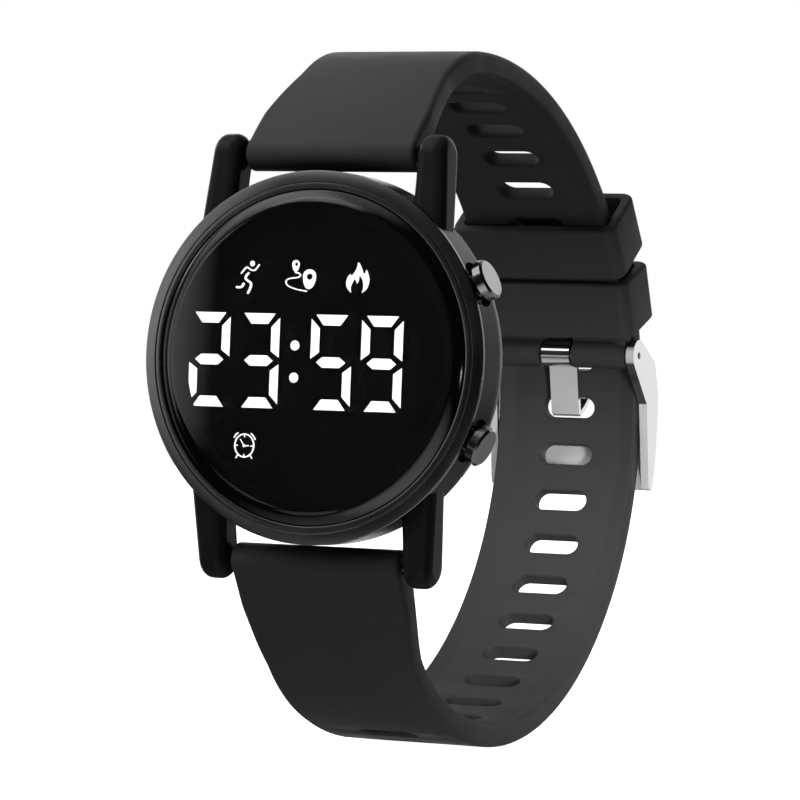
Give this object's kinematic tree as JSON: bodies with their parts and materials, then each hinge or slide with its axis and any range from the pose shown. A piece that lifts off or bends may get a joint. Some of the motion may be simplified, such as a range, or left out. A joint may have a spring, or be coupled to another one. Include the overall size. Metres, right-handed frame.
{
  "type": "digital wrist watch",
  "caption": "Round digital wrist watch with a domed lens, side pushers, splayed lugs and a slotted silicone strap closed by a pin buckle and keepers.",
  "frame": {"origin": "centre of the case back's outer face", "axes": "+X towards 3 o'clock and the pushers, +Y from the case back through the wrist to the buckle, +Z towards 12 o'clock; the dial faces -Y"},
  "size_m": [0.0405, 0.0767, 0.0776],
  "materials": {
    "case_black": "gloss black coating",
    "bezel_black": "gloss black coating",
    "lens_glass": "dark tinted, clear gloss",
    "seal_rubber": "matte",
    "module_black": "matte",
    "digit_white": "lit white",
    "board_green": "satin",
    "contact_brass": "plain",
    "cell_steel": "brushed",
    "holder_grey": "matte",
    "back_steel": "brushed",
    "screw_steel": "plain",
    "pusher_steel": "dark polished",
    "strap_rubber": "matte silicone",
    "buckle_steel": "polished"
  },
  "bodies": {
    "case": {"case_body": "case_black", "bezel_ring": "bezel_black", "lens": "lens_glass", "lens_gasket": "seal_rubber", "display_frame": "module_black", "digit_lit_segments": "digit_white", "digit_dark_segments": "module_black", "circuit_board": "board_green", "button_switches": "module_black", "battery_contact": "contact_brass", "battery": "cell_steel", "vibration_motor": "cell_steel", "module_holder": "holder_grey", "case_back": "back_steel", "back_gasket": "seal_rubber", "back_screws": "screw_steel", "pusher_upper_seal": "seal_rubber", "pusher_lower_seal": "seal_rubber", "upper_bar_tube": "screw_steel", "upper_bar_tips": "screw_steel", "lower_bar_tube": "screw_steel", "lower_bar_tips": "screw_steel"},
    "pusher_upper": {"pusher_upper": "pusher_steel", "pusher_upper_clip": "screw_steel", "pusher_upper_spring": "screw_steel"},
    "pusher_lower": {"pusher_lower": "pusher_steel", "pusher_lower_clip": "screw_steel", "pusher_lower_spring": "screw_steel"},
    "strap_upper": {"strap_buckle_half": "strap_rubber", "keeper_fixed": "strap_rubber", "buckle_bar": "screw_steel"},
    "strap_lower": {"strap_hole_half": "strap_rubber"},
    "free_keeper": {"keeper_free": "strap_rubber"},
    "frame": {"buckle_frame": "buckle_steel"},
    "tongue": {"buckle_tongue": "buckle_steel"}
  },
  "joints": [
    {"name": "pusher_upper_press", "type": "slide", "parent": "case", "child": "pusher_upper", "axis": [-0.91, 0, -0.4147], "range_m": [0, 0.0004], "stiffness_N_per_m": 1000, "springref_m": -0.0003, "deforming": ["pusher_upper_spring"]},
    {"name": "pusher_lower_press", "type": "slide", "parent": "case", "child": "pusher_lower", "axis": [-0.91, 0, 0.4147], "range_m": [0, 0.0004], "stiffness_N_per_m": 1000, "springref_m": -0.0003, "deforming": ["pusher_lower_spring"]},
    {"name": "strap_upper_sway", "type": "hinge", "parent": "case", "child": "strap_upper", "pos_m": [0, -0.0045, 0.022], "axis": [1, 0, 0], "range_deg": [-2, 2], "stiffness_Nm_per_rad": 0.3},
    {"name": "strap_lower_sway", "type": "hinge", "parent": "case", "child": "strap_lower", "pos_m": [0, -0.0045, -0.022], "axis": [1, 0, 0], "range_deg": [-2, 2], "stiffness_Nm_per_rad": 0.3, "deforming": ["strap_hole_half"]},
    {"name": "free_keeper_slide", "type": "hinge", "parent": "strap_upper", "child": "free_keeper", "pos_m": [0, 0.0251, -0.00579], "axis": [1, 0, 0], "range_deg": [0, 20]},
    {"name": "frame_pivot", "type": "hinge", "parent": "strap_upper", "child": "frame", "pos_m": [0, 0.05992, 0.00276], "axis": [1, 0, 0], "range_deg": [0, 55]},
    {"name": "tongue_pivot", "type": "hinge", "parent": "strap_upper", "child": "tongue", "pos_m": [0, 0.05992, 0.00276], "axis": [1, 0, 0], "range_deg": [-50, 0]}
  ],
  "couplings": [
    {"joint": "strap_lower_sway", "follows": "strap_upper_sway", "ratio": 1}
  ]
}
